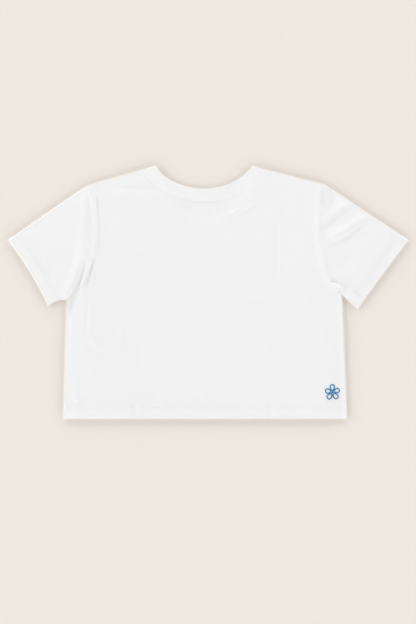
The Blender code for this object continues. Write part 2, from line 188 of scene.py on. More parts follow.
# Each soft fold of the upper layer: its two ends, how far its middle bows to the left of the way
# from the first to the second, its half width, and its height, which is below 0 for a trough.
Fold = namedtuple("Fold", "x0 y0 x1 y1 bow width height")
FOLDS = (
    # left underarm: the sleeve stands above the body in one broad ridge, with a smaller one beside it
    Fold(-0.2290, 0.1000, -0.2880, -0.0460, 0.0085, 0.0105, 0.0014),
    Fold(-0.2220, 0.0640, -0.2680, -0.0480, 0.000, 0.0066, -0.0014),
    Fold(-0.2360, 0.0240, -0.2680, -0.0450, 0.000, 0.0085, -0.0007),
    Fold(-0.2215, 0.0760, -0.2360, 0.0000, 0.001, 0.0030, 0.0014),
    Fold(-0.2140, 0.0680, -0.2310, 0.0020, 0.001, 0.0036, -0.0013),
    Fold(-0.2080, 0.1860, -0.2030, 0.1200, -0.002, 0.0036, -0.0013),
    Fold(-0.2045, 0.1380, -0.2068, 0.0700, 0.001, 0.0036, -0.0012),
    # left side, below the underarm
    Fold(-0.2560, -0.0220, -0.2560, -0.0900, 0.000, 0.0050, 0.0006),
    Fold(-0.2255, -0.0150, -0.2250, -0.0800, 0.000, 0.0030, -0.0006),
    Fold(-0.2215, -0.0250, -0.2220, -0.0900, 0.000, 0.0035, 0.0006),
    # left shoulder: along its edge, then the ridge and the trough below
    Fold(-0.2240, 0.1885, -0.1900, 0.1970, 0.000, 0.0030, 0.0003),
    Fold(-0.1900, 0.1925, -0.0900, 0.1925, 0.000, 0.0026, -0.0008),
    Fold(-0.2100, 0.1835, -0.0780, 0.1835, 0.001, 0.0065, 0.0005),
    # left sleeve, beside the armhole
    Fold(-0.2210, 0.1850, -0.2195, 0.1400, -0.001, 0.0030, -0.0004),
    Fold(-0.2300, 0.1900, -0.2290, 0.1350, 0.000, 0.0064, 0.0007),
    Fold(-0.2310, 0.1600, -0.2350, 0.0400, -0.001, 0.0120, 0.0011),
    # right sleeve: the small ones under the shoulder, then the long ones up to the fold along its top
    Fold(0.2132, 0.1940, 0.2140, 0.1460, 0.000, 0.0050, -0.0013),
    Fold(0.2205, 0.1985, 0.2262, 0.1560, 0.006, 0.0040, -0.0014),
    Fold(0.2090, 0.1240, 0.2660, 0.1720, -0.001, 0.0085, 0.0017),
    Fold(0.2020, 0.1105, 0.2650, 0.1627, -0.001, 0.0060, -0.0014),
    Fold(0.2100, 0.0970, 0.3070, 0.1520, -0.0075, 0.0105, 0.0021),
    Fold(0.2100, 0.0830, 0.2780, 0.1120, -0.003, 0.0066, -0.0011),
    Fold(0.2480, 0.0970, 0.3040, 0.1340, 0.002, 0.0076, -0.0010),
    Fold(0.2150, 0.0500, 0.2700, 0.0560, 0.003, 0.0090, -0.0012),
    # right underarm: a pucker, the seam rolled over the edge, and the cloth on both sides of it
    Fold(0.2230, 0.0206, 0.2420, 0.0180, 0.000, 0.0034, -0.0018),
    Fold(0.2400, 0.0140, 0.2600, 0.0060, 0.001, 0.0028, -0.0006),
    Fold(0.2500, 0.0130, 0.2800, -0.0050, 0.001, 0.0040, -0.0006),
    Fold(0.2670, 0.0010, 0.2960, -0.0160, 0.001, 0.0028, -0.0015),
    Fold(0.2300, 0.0100, 0.2530, 0.0030, 0.000, 0.0050, 0.0010),
    Fold(0.2540, -0.0020, 0.2830, -0.0210, 0.000, 0.0080, 0.0013),
    # right side, just inside its edge
    Fold(0.2465, 0.0150, 0.2495, -0.1500, 0.000, 0.0070, 0.0010),
    Fold(0.2050, -0.0150, 0.2060, -0.1100, 0.000, 0.0040, -0.0005),
    Fold(0.2450, -0.1220, 0.2380, -0.1680, 0.001, 0.0040, -0.0007),
    # neck, where the front neckband lies beneath
    Fold(0.0290, 0.1390, 0.0760, 0.1650, -0.001, 0.0032, 0.0010),
    Fold(0.0370, 0.1390, 0.0820, 0.1630, 0.000, 0.0028, -0.0003),
    Fold(0.0420, 0.1360, 0.0920, 0.1650, 0.001, 0.0034, 0.0010),
    # hem
    Fold(-0.1383, -0.2450, -0.1383, -0.1980, 0.000, 0.0042, -0.0010),
    Fold(0.1150, -0.2450, 0.1150, -0.2020, 0.000, 0.0042, -0.0010),
    Fold(-0.2530, -0.1890, -0.2400, -0.2080, 0.001, 0.0038, 0.0012),
    # fine creases over the back: one down it, those across it, then puckers
    Fold(0.1275, 0.1500, 0.1270, 0.0150, 0.000, 0.0030, -0.0006),
    Fold(-0.1000, 0.0165, 0.0420, 0.0165, 0.000, 0.0035, 0.0004),
    Fold(-0.1000, 0.0110, 0.0450, 0.0115, 0.000, 0.0035, -0.0004),
    Fold(0.0310, 0.0280, 0.0540, 0.0080, 0.002, 0.0035, -0.0006),
    Fold(0.0250, -0.0120, 0.1300, -0.0125, 0.000, 0.0030, 0.0004),
    Fold(0.0250, -0.0180, 0.1300, -0.0190, 0.000, 0.0030, -0.0004),
    Fold(0.1250, 0.0020, 0.2150, 0.0025, 0.000, 0.0030, 0.0004),
    Fold(-0.1700, -0.0560, -0.1560, -0.0860, 0.001, 0.0038, 0.0010),
    Fold(-0.1590, -0.0640, -0.1520, -0.0900, 0.000, 0.0030, -0.0004),
    Fold(-0.2190, -0.0800, -0.2040, -0.1120, 0.001, 0.0038, 0.0008),
    Fold(-0.2110, -0.0840, -0.2000, -0.1060, 0.000, 0.0030, -0.0004),
    Fold(-0.1480, 0.0830, -0.1020, 0.0800, 0.002, 0.0060, 0.0006),
    Fold(-0.1300, -0.0900, -0.1280, -0.1450, 0.002, 0.0045, -0.0006),
    Fold(-0.0150, -0.0700, -0.0120, -0.1250, 0.000, 0.0050, -0.0006),
    Fold(0.0700, -0.0950, 0.1250, -0.1010, 0.002, 0.0055, 0.0006),
)

# Painted shade where the cloth tucks under itself in the deep creases: how much darker its colour is
# painted there, in a fold's height column.
TUCK_PAINTED_SHADE = (
    Fold(-0.2320, 0.0380, -0.2670, -0.0440, 0.000, 0.0080, -0.050),
    Fold(-0.2155, 0.0640, -0.2300, 0.0060, 0.001, 0.0030, -0.025),
    Fold(-0.2530, 0.0020, -0.2590, -0.0500, 0.000, 0.0040, -0.060),
    Fold(0.2102, 0.1940, 0.2112, 0.1560, 0.000, 0.0026, -0.050),
    Fold(0.2205, 0.1985, 0.2262, 0.1500, 0.006, 0.0032, -0.030),
    Fold(0.2395, -0.0005, 0.2465, -0.0010, 0.000, 0.0020, -0.110),
    Fold(0.2425, 0.0120, 0.2530, 0.0050, 0.000, 0.0020, -0.040),
    Fold(0.2640, 0.0060, 0.2890, -0.0140, 0.000, 0.0022, -0.060),
)

# The shallow creases of the layer underneath, which all rise off the table.
UNDER_FOLDS = (
    Fold(-0.1900, 0.120, -0.1500, 0.060, 0.004, 0.0060, 0.0005),
    Fold(0.1750, 0.140, 0.1350, 0.070, -0.005, 0.0055, 0.0006),
    Fold(-0.2150, -0.020, -0.2050, -0.110, 0.003, 0.0060, 0.0005),
    Fold(0.2150, -0.015, 0.2080, -0.130, -0.002, 0.0065, 0.0006),
    Fold(-0.1000, -0.040, 0.0200, -0.052, 0.004, 0.0050, 0.0003),
    Fold(0.0300, -0.095, 0.1300, -0.088, 0.003, 0.0055, 0.0003),
    Fold(-0.1450, -0.120, -0.0700, -0.150, 0.003, 0.0050, 0.0003),
    Fold(0.0500, 0.060, 0.0900, 0.010, 0.002, 0.0050, 0.0003),
    Fold(-0.0600, 0.075, -0.0800, 0.020, 0.002, 0.0045, 0.0003),
    Fold(-0.2800, 0.120, -0.3050, 0.070, 0.003, 0.0055, 0.0006),
    Fold(-0.2700, 0.070, -0.2850, 0.030, 0.002, 0.0050, 0.0005),
    Fold(0.2650, 0.130, 0.3050, 0.080, 0.003, 0.0060, 0.0006),
    Fold(0.2600, 0.070, 0.2800, 0.020, 0.002, 0.0050, 0.0005),
)


# Curves in the plane of the table


def bezier(*knots, count=40):
    """Points along the Bezier curve that these knots control."""
    t = np.linspace(0, 1, count)[:, None]
    levels = [np.array(knot, float) for knot in knots]
    while len(levels) > 1:
        levels = [(1 - t) * a + t * b for a, b in zip(levels, levels[1:])]
    return levels[0]


def bowed(start, end, bow, count=40):
    """A curve between two points whose middle lies to the left of the way there by the bow."""
    start, end = np.array(start), np.array(end)
    along = (end - start) / np.hypot(*(end - start))
    left = np.array((-along[1], along[0]))
    return bezier(start, (start + end) / 2 + 2 * bow * left, end, count=count)


def neckline_below(start, end, shape, count=200):
    """The curve from start to end that hangs below them, with a neckline's two handles."""
    left = np.array(start) + (shape.left_in, -shape.left_below)
    right = np.array(end) + (-shape.right_in, -shape.right_below)
    return bezier(start, left, right, end, count=count)


def half_ellipse_below(start, end, drop, count=200):
    """The half ellipse from start to end whose lowest point is a drop below their middle."""
    start, end = np.array(start), np.array(end)
    turn = np.linspace(0, np.pi, count)[:, None]
    middle = (start + end) / 2
    return middle - np.cos(turn) * (end - start) / 2 - np.sin(turn) * np.array((0, drop))


def length_of(line):
    return np.hypot(*np.diff(line, axis=0).T).sum()


def at_distances(line, distances):
    """Points at these distances along a line."""
    run = np.r_[0, np.cumsum(np.hypot(*np.diff(line, axis=0).T))]
    return np.stack([np.interp(distances, run, line[:, axis]) for axis in (0, 1)], axis=-1)


def at_shares(line, shares):
    """Points at these shares of the way along a line."""
    return at_distances(line, np.asarray(shares) * length_of(line))


def unit(vectors):
    return vectors / np.linalg.norm(vectors, axis=-1, keepdims=True)


def moved_left(line, distance):
    """The line moved sideways, to the left of the way that it runs."""
    way = unit(np.gradient(line, axis=0))
    return line + distance * np.stack([-way[:, 1], way[:, 0]], axis=1)


def nearest_on(line, x, y):
    """Each point's distance to a line, its side, +1 to the left, and its share of the way along."""
    nearest = np.full(len(x), np.inf)
    side, share = np.zeros(len(x)), np.zeros(len(x))
    for index, (start, step) in enumerate(zip(line[:-1], np.diff(line, axis=0))):
        dx, dy = x - start[0], y - start[1]
        t = np.clip((dx * step[0] + dy * step[1]) / (step @ step), 0, 1)
        away = np.hypot(dx - t * step[0], dy - t * step[1])
        closer = away < nearest
        nearest[closer] = away[closer]
        side[closer] = np.sign(step[0] * dy - step[1] * dx)[closer]
        share[closer] = (index + t[closer]) / (len(line) - 1)
    return nearest, side, share


def distance_to(line, x, y):
    """Each point's distance to a line, and which side of it: +1 to the left of its way, or -1."""
    return nearest_on(line, x, y)[:2]


def smooth_step(low, high, value):
    t = np.clip((value - low) / (high - low), 0, 1)
    return t * t * (3 - 2 * t)


# The garment's lines


def inward(half):
    """+1 where the garment's middle lies towards +X of this half, and -1 on the other."""
    return 1 if half is LEFT else -1


def armhole(half, scoop=0.0):
    """The armhole from the shoulder to the underarm. The scoop takes it further into the body."""
    upper = half.armhole_upper + np.array((inward(half) * scoop, 0))
    return bezier(half.shoulder, upper, half.armhole_lower, half.underarm)


def side_edge(half):
    """The body's side, from the hem up to the underarm."""
    return bezier(half.hem, half.underarm, count=2)


def rib_fold(half):
    """Both ends of the neckband's fold on the shoulder: at the free edge and at its seam."""
    neck, shoulder = np.array(half.neck), np.array(half.shoulder)
    return neck, neck + RIB_WIDTH * unit(shoulder - neck)


def back_neck():
    """The back neckband's free edge and its seam, from left to right."""
    (free_left, seam_left), (free_right, seam_right) = rib_fold(LEFT), rib_fold(RIGHT)
    free = neckline_below(free_left, free_right, BACK_FREE_EDGE)
    return free, neckline_below(seam_left, seam_right, BACK_SEAM)


def front_neck():
    """The front neckband's free edge and its seam, from left to right."""
    (free_left, seam_left), (free_right, seam_right) = rib_fold(LEFT), rib_fold(RIGHT)
    seam_drop = FRONT_NECK_DROP + RIB_WIDTH - (free_left[1] - seam_left[1])
    free = half_ellipse_below(free_left, free_right, FRONT_NECK_DROP)
    return free, half_ellipse_below(seam_left, seam_right, seam_drop)


def sleeve_edges(half):
    """A sleeve's top fold and underarm edge, each from the body out, and its cuff from the top."""
    out = -inward(half)
    return (
        bowed(half.shoulder, half.cuff_top, out * half.top_bow),
        bowed(half.underarm, half.cuff_bottom, -out * half.under_bow),
        bowed(half.cuff_top, half.cuff_bottom, out * half.cuff_bow),
    )


def folded_edges():
    """The lines on which the cloth turns under: both sides, shoulders and sleeves' long edges."""
    for half in (LEFT, RIGHT):
        top, under, _ = sleeve_edges(half)
        yield side_edge(half)
        yield bezier(half.neck, half.shoulder, count=2)
        yield top[::4]
        yield under[::4]


# Heights over the table


def from_cuffs(x, y):
    """Each point's distance to the nearer cuff's edge."""
    left, right = [distance_to(sleeve_edges(half)[2][::4], x, y)[0] for half in (LEFT, RIGHT)]
    return np.minimum(left, right)


def hem_band(x, y):
    """1 on the turned-up hem, and 0 above it."""
    return 1 - smooth_step(0, HEM_STEP, y - LEFT.hem[1] - BAND_DEPTH)


def cuff_band(x, y):
    """1 on the turned-up cuffs, and 0 on the plain sleeves."""
    return 1 - smooth_step(0, CUFF_STEP, from_cuffs(x, y) - BAND_DEPTH)


def turn_up(x, y):
    """How much the turned-up hem and cuffs add to one layer's thickness."""
    return HEM_TURN_UP * hem_band(x, y) + CUFF_TURN_UP * cuff_band(x, y)


def grooves(x, y):
    """How deep the two rows of stitches draw the cloth in along the hem and the cuffs."""
    hem = sum(np.exp(-(((y - LEFT.hem[1] - row) / GROOVE_WIDTH) ** 2)) for row in STITCH_ROWS)
    cuffs = sum(np.exp(-(((from_cuffs(x, y) - row) / GROOVE_WIDTH) ** 2)) for row in STITCH_ROWS)
    return HEM_GROOVE * hem + CUFF_GROOVE * cuffs


def from_folded_edges(x, y):
    away = np.full(len(x), np.inf)
    for edge in folded_edges():
        away = np.minimum(away, distance_to(edge, x, y)[0])
    return away


def from_openings(x, y):
    """1 at the edges of the cuffs and of the neck, where both layers lie close, and 0 inland."""
    from_neck = distance_to(back_neck()[0][::4], x, y)[0]
    return 1 - smooth_step(0, PRESSED_REACH, np.minimum(from_neck, from_cuffs(x, y)))


def fold_sum(table, x, y):
    """The soft folds of a table, each a rounded ridge or trough that fades at its ends."""
    total = np.zeros(len(x))
    for fold in table:
        line = bowed((fold.x0, fold.y0), (fold.x1, fold.y1), fold.bow, count=FOLD_POINTS)
        reach = FOLD_REACH * fold.width
        low, high = line.min(axis=0) - reach, line.max(axis=0) + reach
        near = (x > low[0]) & (x < high[0]) & (y > low[1]) & (y < high[1])
        away, _, share = nearest_on(line, x[near], y[near])
        full = smooth_step(0, FOLD_TAPER, share) * smooth_step(0, FOLD_TAPER, 1 - share)
        total[near] += fold.height * full * np.exp(-((away / fold.width) ** 2))
    return total


def seam_ridge(x, y):
    """The seam allowances, which lift the cloth over them."""
    total = np.zeros(len(x))
    for half in (LEFT, RIGHT):
        away, side = distance_to(armhole(half), x, y)
        from_ridge = side * inward(half) * away - half.seam_aside
        full = smooth_step(half.ridge_foot, half.ridge_full, y)
        total += half.seam_rise * full * np.exp(-((from_ridge / half.seam_width) ** 2))
    away, side = distance_to(back_neck()[1][::4], x, y)
    ridge = np.exp(-(((away - NECK_SEAM_ASIDE) / NECK_SEAM_WIDTH) ** 2))
    return total + np.where(side < 0, NECK_SEAM_RISE, 0) * ridge


def from_front_neck(x, y):
    """Each point's distance outside the front neckband's free edge, below 0 where that is open."""
    away, side = distance_to(front_neck()[0][::4], x, y)
    return -side * away


def single(x, y):
    """1 well inside the front's neckline, where the back is the only layer, and 0 outside it."""
    return 1 - smooth_step(*SINGLE_OVER, from_front_neck(x, y))


def through_front(x, y):
    """How the front's neckband shows through: the cloth is raised over it, and closer within it."""
    outside = from_front_neck(x, y)
    from_free_edge = smooth_step(*UNDER_RIB_FREE_EDGE, outside)
    from_seam = smooth_step(*UNDER_RIB_SEAM, outside - RIB_WIDTH)
    return UNDER_RIB * from_free_edge * (1 - from_seam) - SINGLE_LAYER * single(x, y)


def undulation(x, y):
    """The heights of the waves together."""
    total = np.ones(len(x))
    for wave in WAVES:
        sine = np.sin(wave.sine_x * x + wave.sine_y * y + wave.sine_from)
        total += wave.share * sine * np.cos(wave.cosine_x * x + wave.cosine_y * y + wave.cosine_from)
    return UNEVENNESS * total


def upper_face(x, y):
    """Height of the garment's upper face."""
    away = from_folded_edges(x, y)
    loose = AIR * (1 - np.exp(-((away / AIR_REACH) ** 2)))
    lift = 1 - np.exp(-((away / LIFT_REACH) ** 2))
    shaped = fold_sum(FOLDS, x, y) + seam_ridge(x, y) + undulation(x, y) + through_front(x, y)
    free = loose * (1 - PRESSED_SHARE * from_openings(x, y)) + lift * shaped
    raised_by = (free + np.sqrt(free**2 + SOFTENING**2) - SOFTENING) / 2
    return BASE + 2 * turn_up(x, y) + np.maximum(raised_by, 0) - grooves(x, y) - SINK * single(x, y)


def lower_face(x, y):
    """Height of the garment's underside, which lies on the table but for its shallow creases."""
    inland = smooth_step(*CLEAR_OF_FOLDED_EDGES, from_folded_edges(x, y))
    above_bands = smooth_step(*CLEAR_OF_BANDS, np.minimum(y - LEFT.hem[1], from_cuffs(x, y)))
    return inland * above_bands * fold_sum(UNDER_FOLDS, x, y) + grooves(x, y)


def wall(x, y):
    """Thickness of one layer, which is more where a hem or cuff is turned up."""
    return WALL + turn_up(x, y)


def heights(net, function):
    """A function of x and y over a net of any shape."""
    points = net.reshape(-1, 2)
    return function(points[:, 0], points[:, 1]).reshape(net.shape[:-1])


# Meshes

# A cut edge's rounding and a fold's nose: the turns of their loops, and how far they reach out as
# shares of the thickness.
RIM_TURNS = np.radians((45, 90, 135))
RIM_REACH = 0.3
NOSE_REACH = 0.4
NOSE_TURNS = np.radians((-72, -54, -36, -18, 0, 18, 36, 54, 72))

# Where the nets' lines lie: up from the hem and in from the cuffs, with five across each row of
# stitches, then out from an armhole and from a fold, and as shares at an armhole's end, in from a
# panel's sides and across the neckband
ACROSS_STITCHES = (-0.0012, -0.0006, 0, 0.0006, 0.0012)
BELOW_STITCHES = (0, 0.0004, 0.0020, 0.0050, 0.0090, 0.0130, 0.0165)
ABOVE_STITCHES = (0.0262, 0.0285, 0.0310)
STITCH_LINES = tuple(row + step for row in STITCH_ROWS for step in ACROSS_STITCHES)
NEAR_BAND = BELOW_STITCHES + STITCH_LINES + ABOVE_STITCHES
NEAR_ARMHOLE = (0, 0.0004, 0.0015, 0.0035, 0.0060, 0.0090)
NEAR_FOLD = (0.0004, 0.0015, 0.0032, 0.0058)
LAST_OF_ARMHOLE = (0.9935, 0.9975, 1)
NEAR_SIDE = (0, 0.0008, 0.003, 0.007, 0.012)
ACROSS_RIB = (0, 0.02, 0.08, 0.18, 0.30, 0.43, 0.57, 0.70, 0.82, 0.92, 0.98, 1)

# How many lines: across a panel, then up its side and up its armhole; down a sleeve's upper layer
# and its lower one, and out from its armhole to its cuff
FRONT_LINES = (130, (46, 52))
BACK_LINES = (186, (72, 84))
SLEEVE_LINES = (92, 60)
SLEEVE_RINGS = 48
LINE_POINTS = 60

# A panel's rows come to hang like its neckline from this share of the way up, and a sleeve's lines
# lie closer together where it is shorter than this.
HANG_FROM = 0.15
SHORT = 0.075


def rim(over, under, outward):
    """The loops that round a cut edge off, between its upper and its lower line."""
    middle, up = (over + under) / 2, (over - under) / 2
    reach = RIM_REACH * np.linalg.norm(up, axis=1, keepdims=True)
    return [middle + np.cos(turn) * up + np.sin(turn) * reach * outward for turn in RIM_TURNS]


class Shell:
    """A mesh in the making: points and the faces between them."""

    def __init__(self):
        self.points, self.faces = [], []
        self.count = 0

    def add(self, points):
        """Adds points in an array of any shape, and gives their numbers in the same shape."""
        self.points.append(points.reshape(-1, 3))
        numbers = self.count + np.arange(points.size // 3).reshape(points.shape[:-1])
        self.count += numbers.size
        return numbers

    def net(self, numbers, flip=False, closed=False):
        """Faces over a net of point numbers, joined round its second axis where it is closed."""
        if closed:
            numbers = np.concatenate([numbers, numbers[:, :1]], axis=1)
        corners = [numbers[:-1, :-1], numbers[:-1, 1:], numbers[1:, 1:], numbers[1:, :-1]]
        if flip:
            corners.reverse()
        self.faces.append(np.stack(corners, axis=-1).reshape(-1, 4))

    def finished(self, name, material, tone=None):
        """The object, shaded smooth, with the tone of its cloth, painted shade included, stored at its
        points.
        """
        points = np.concatenate(self.points)
        faces = np.concatenate(self.faces)
        data = bpy.data.meshes.new(name)
        data.vertices.add(len(points))
        data.vertices.foreach_set("co", points.ravel())
        data.loops.add(faces.size)
        data.loops.foreach_set("vertex_index", faces.ravel().astype(np.int32))
        data.polygons.add(len(faces))
        data.polygons.foreach_set("loop_start", np.arange(0, faces.size, faces.shape[1], dtype=np.int32))
        data.update(calc_edges=True)
        data.validate()
        data.shade_smooth()
        if tone is not None:
            layer = data.attributes.new("tone", "FLOAT", "POINT")
            layer.data.foreach_set("value", tone(*points.T).astype(np.float32))
        data.materials.append(material)
        piece = bpy.data.objects.new(name, data)
        bpy.context.scene.collection.objects.link(piece)
        return piece


def perimeter(net):
    """The outermost points of a net as one loop, against the clock, and the points just inside."""
    last_row, last_column = net.shape[0] - 1, net.shape[1] - 1
    rows = np.r_[
        np.zeros(last_column, int),
        np.arange(last_row),
        np.full(last_column, last_row),
        np.arange(last_row, 0, -1),
    ]
    columns = np.r_[
        np.arange(last_column),
        np.full(last_row, last_column),
        np.arange(last_column, 0, -1),
        np.zeros(last_row, int),
    ]
    return (rows, columns), (np.clip(rows, 1, last_row - 1), np.clip(columns, 1, last_column - 1))


def laid_cloth(name, plan, top, bottom, material, tone):
    """A laid piece of cloth over a net of plan points, with rounded edges."""
    edge, within = perimeter(plan)
    inwards = unit(plan[within] - plan[edge])
    plan = plan.copy()
    plan[edge] += inwards * (RIM_REACH * heights(plan[edge], wall) / 2)[:, None]
    over, under = [np.dstack([plan, heights(plan, face)]) for face in (top, bottom)]
    outward = np.concatenate([-inwards, np.zeros((len(inwards), 1))], axis=1)
    shell = Shell()
    upper, lower = shell.add(over), shell.add(under)
    loops = [upper[edge], *map(shell.add, rim(over[edge], under[edge], outward)), lower[edge]]
    shell.net(upper)
    shell.net(lower, flip=True)
    shell.net(np.stack(loops), flip=True, closed=True)
    return shell.finished(name, material, tone)


def places(length, nose, near, count):
    """Distances along a folded layer, from one nose to the other, closer near both."""
    near = nose + np.array((0, *near))
    return np.r_[near, np.linspace(near[-1], length - near[-1], count + 2)[1:-1], length - near[::-1]]


def folded_loop(over, under, top, bottom, near, counts, emboss=None):
    """The outer and inner loops of a folded tube where one line across each layer is given."""
    folds_at = over[[0, -1]]
    nose = NOSE_REACH * upper_face(*folds_at.T).mean() / 2
    over = at_distances(over, places(length_of(over), nose, near, counts[0]))
    under = at_distances(under, places(length_of(under), nose, near, counts[1]))
    z_over, z_under = top(*over.T), bottom(*under.T)
    thick_over, thick_under = wall(*over.T), wall(*under.T)
    if emboss is not None:
        z_over = z_over + emboss(len(over))
        z_under = z_under + RIB_HEIGHT - emboss(len(under))
    outer_noses, inner_noses = [], []
    for end in (0, -1):
        way = unit(unit(over[end] - folds_at[end]) + unit(under[end] - folds_at[end]))
        middle = (z_over[end] + z_under[end]) / 2
        radius = (z_over[end] - z_under[end]) / 2
        thick = thick_over[end]
        for noses, shrink in ((outer_noses, 0), (inner_noses, thick)):
            flat = nose - (nose - NOSE_REACH * shrink) * np.cos(NOSE_TURNS)
            plan = folds_at[end] + flat[:, None] * way
            noses.append(np.column_stack([plan, middle + (radius - shrink) * np.sin(NOSE_TURNS)]))
    loops = []
    for noses, a, b in (
        (outer_noses, z_over, z_under),
        (inner_noses, z_over - thick_over, z_under + thick_under),
    ):
        upper, lower = np.column_stack([over, a]), np.column_stack([under, b])
        loops.append(np.vstack([noses[0], upper, noses[1][::-1], lower[::-1]]))
    return loops


def folded_tube(name, loops, flip, material, tone):
    """A tube of cloth pressed flat, from the outer and inner loops along it."""
    outer = np.array([pair[0] for pair in loops])
    inner = np.array([pair[1] for pair in loops])
    shell = Shell()
    outside, inside = shell.add(outer), shell.add(inner)
    shell.net(outside, flip=flip, closed=True)
    shell.net(inside, flip=not flip, closed=True)
    for end, next_one in ((0, 1), (-1, -2)):
        outward = unit(outer[end] - outer[next_one])
        rims = [shell.add(loop) for loop in rim(outer[end], inner[end], outward)]
        stacked = np.stack([outside[end], *rims, inside[end]])
        shell.net(stacked, flip=flip == (end == -1), closed=True)
    return shell.finished(name, material, tone)


# Nets over the pieces


def body_net(neckline, scoop, columns, rows):
    """A net over a body panel, its rows from the hem up and its columns from left to right."""
    sides = []
    up_armhole = np.r_[np.linspace(0, 1, rows[1])[1:-1], LAST_OF_ARMHOLE]
    for half in (LEFT, RIGHT):
        side = side_edge(half)
        hole = moved_left(armhole(half, scoop), inward(half) * GAP)[::-1]
        up_side = np.r_[NEAR_BAND, np.linspace(NEAR_BAND[-1], length_of(side), rows[0])[1:]]
        sides.append(np.vstack([at_distances(side, up_side), at_shares(hole, up_armhole)]))
    left, right = sides
    neck = moved_left(neckline, -GAP)
    corners = [left[-1], neck[0], neck[-1], right[-1]]
    ends = [(corner[0] - corners[0][0]) / (corners[3][0] - corners[0][0]) for corner in corners]
    across = edge_shares(ends, columns)
    top_x, top_y = [np.interp(across, *spread(ends, corners, neck, axis)) for axis in (0, 1)]

    # each column runs straight up to its place on the top edge, but for those beside an armhole,
    # which follow it less and less towards the neck's corner
    up = np.array([(side[:, 1] - side[0, 1]) / (side[-1, 1] - side[0, 1]) for side in sides])
    risen = (1 - across) * up[0][:, None] + across * up[1][:, None]
    hem_x = (1 - across) * left[0, 0] + across * right[0, 0]
    straight = hem_x + risen * (top_x - hem_x)
    by_left = np.clip(1 - across / ends[1], 0, 1)
    by_right = np.clip(1 - (1 - across) / (1 - ends[2]), 0, 1)
    x = straight + by_left * (left[:, :1] - straight[:, :1]) + by_right * (right[:, :1] - straight[:, -1:])

    # each row runs straight from side to side, but the upper ones come to hang like the neckline
    hang = top_y - (1 - across) * top_y[0] - across * top_y[-1]
    blend = smooth_step(HANG_FROM, 1, np.linspace(0, 1, len(left)))[:, None]
    y = (1 - across) * left[:, 1:] + across * right[:, 1:] + blend * hang
    return np.stack([x, y], axis=-1)


def edge_shares(ends, columns):
    """Shares across a panel, with one at each corner of its top edge, and closer at both sides."""
    near = np.array(NEAR_SIDE)
    shares = [near]
    knots = [near[-1], ends[1], ends[2], 1 - near[-1]]
    for start, end in zip(knots, knots[1:]):
        shares.append(np.linspace(start, end, max(2, round((end - start) * columns)))[1:])
    return np.concatenate([*shares, 1 - near[-2::-1]])


def spread(ends, corners, neck, axis):
    """The top edge as shares across and one coordinate: shoulder, neckline and shoulder."""
    run = np.r_[0, np.cumsum(np.hypot(*np.diff(neck, axis=0).T))]
    shares = np.r_[0, ends[1] + (ends[2] - ends[1]) * run / run[-1], 1]
    return shares, np.r_[corners[0][axis], neck[:, axis], corners[3][axis]]


def sleeve_lines(half, scoop, away_from_cuff=None):
    """Lines across one layer of a sleeve, from its top fold to its underarm edge."""
    top, under, cuff = sleeve_edges(half)
    shares = np.linspace(0, 1, LINE_POINTS)
    start, end = at_shares(armhole(half, scoop), shares), at_shares(cuff, shares)
    length = np.hypot(*(end - start).T)
    if away_from_cuff is None:
        scale = np.minimum(1, length / SHORT)
        near = np.outer(NEAR_ARMHOLE, scale)
        far = length - np.outer(NEAR_BAND[::-1], scale)
        out = np.vstack([near, np.linspace(near[-1], far[0], SLEEVE_RINGS + 2)[1:-1], far]) / length
    else:
        out = 1 - np.array(away_from_cuff)[:, None] / length
    v, u = out[:, :, None], shares[None, :, None]
    seam_to_cuff = (1 - v) * start + v * end
    edge_to_edge = (1 - u) * at_shares(top, out) + u * at_shares(under, out)
    corners = (1 - u) * ((1 - v) * start[0] + v * end[0]) + u * ((1 - v) * start[-1] + v * end[-1])
    return seam_to_cuff + edge_to_edge - corners


# Stitches

# The rings along a thread: their share of its length, of its radius and of its arch
THREAD_RINGS = np.array((
    (0.00, 0.35, -0.6),
    (0.10, 0.85, 0.1),
    (0.32, 1.00, 1.0),
    (0.68, 1.00, 1.0),
    (0.90, 0.85, 0.1),
    (1.00, 0.35, -0.6),
))
THREAD_SIDES = 6


def threads(name, starts, ends, radius, arch, material):
    """Short lengths of thread, each from a start to an end with its middle arched up."""
    along = THREAD_RINGS[:, 0]
    thickness = THREAD_RINGS[:, 1] * radius
    rise = THREAD_RINGS[:, 2] * arch
    turns = np.arange(THREAD_SIDES) * 2 * math.pi / THREAD_SIDES
    way = unit(ends - starts)
    up = np.array((0.0, 0.0, 1.0))
    side = unit(np.cross(way, up))
    centre = starts[:, None] + along[None, :, None] * (ends - starts)[:, None] + rise[None, :, None] * up
    ring = np.cos(turns)[:, None] * side[:, None, None] + np.sin(turns)[:, None] * up
    points = centre[:, :, None] + thickness[None, :, None, None] * ring
    shell = Shell()
    numbers = shell.add(points)
    wrapped = np.concatenate([numbers, numbers[:, :, :1]], axis=2)
    quads = np.stack(
        [wrapped[:, :-1, :-1], wrapped[:, :-1, 1:], wrapped[:, 1:, 1:], wrapped[:, 1:, :-1]], axis=-1
    )
    shell.faces.append(quads.reshape(-1, 4)[:, ::-1])
    for ring_at, order in ((0, (0, 1, 2, 3)), (0, (0, 3, 4, 5)), (-1, (3, 2, 1, 0)), (-1, (5, 4, 3, 0))):
        shell.faces.append(numbers[:, ring_at][:, order])
    return shell.finished(name, material)


def row_of_stitches(line, face, above):
    """The two ends of each stitch along a line of plan points, a little above one face."""
    count = int(length_of(line) / STITCH_PITCH)
    places_at = STITCH_PITCH * np.arange(count) + STITCH_PITCH / 4
    ends = [at_distances(line, places_at + step) for step in (0, STITCH_LENGTH)]
    return [np.column_stack([end, face(*end.T) + above]) for end in ends]


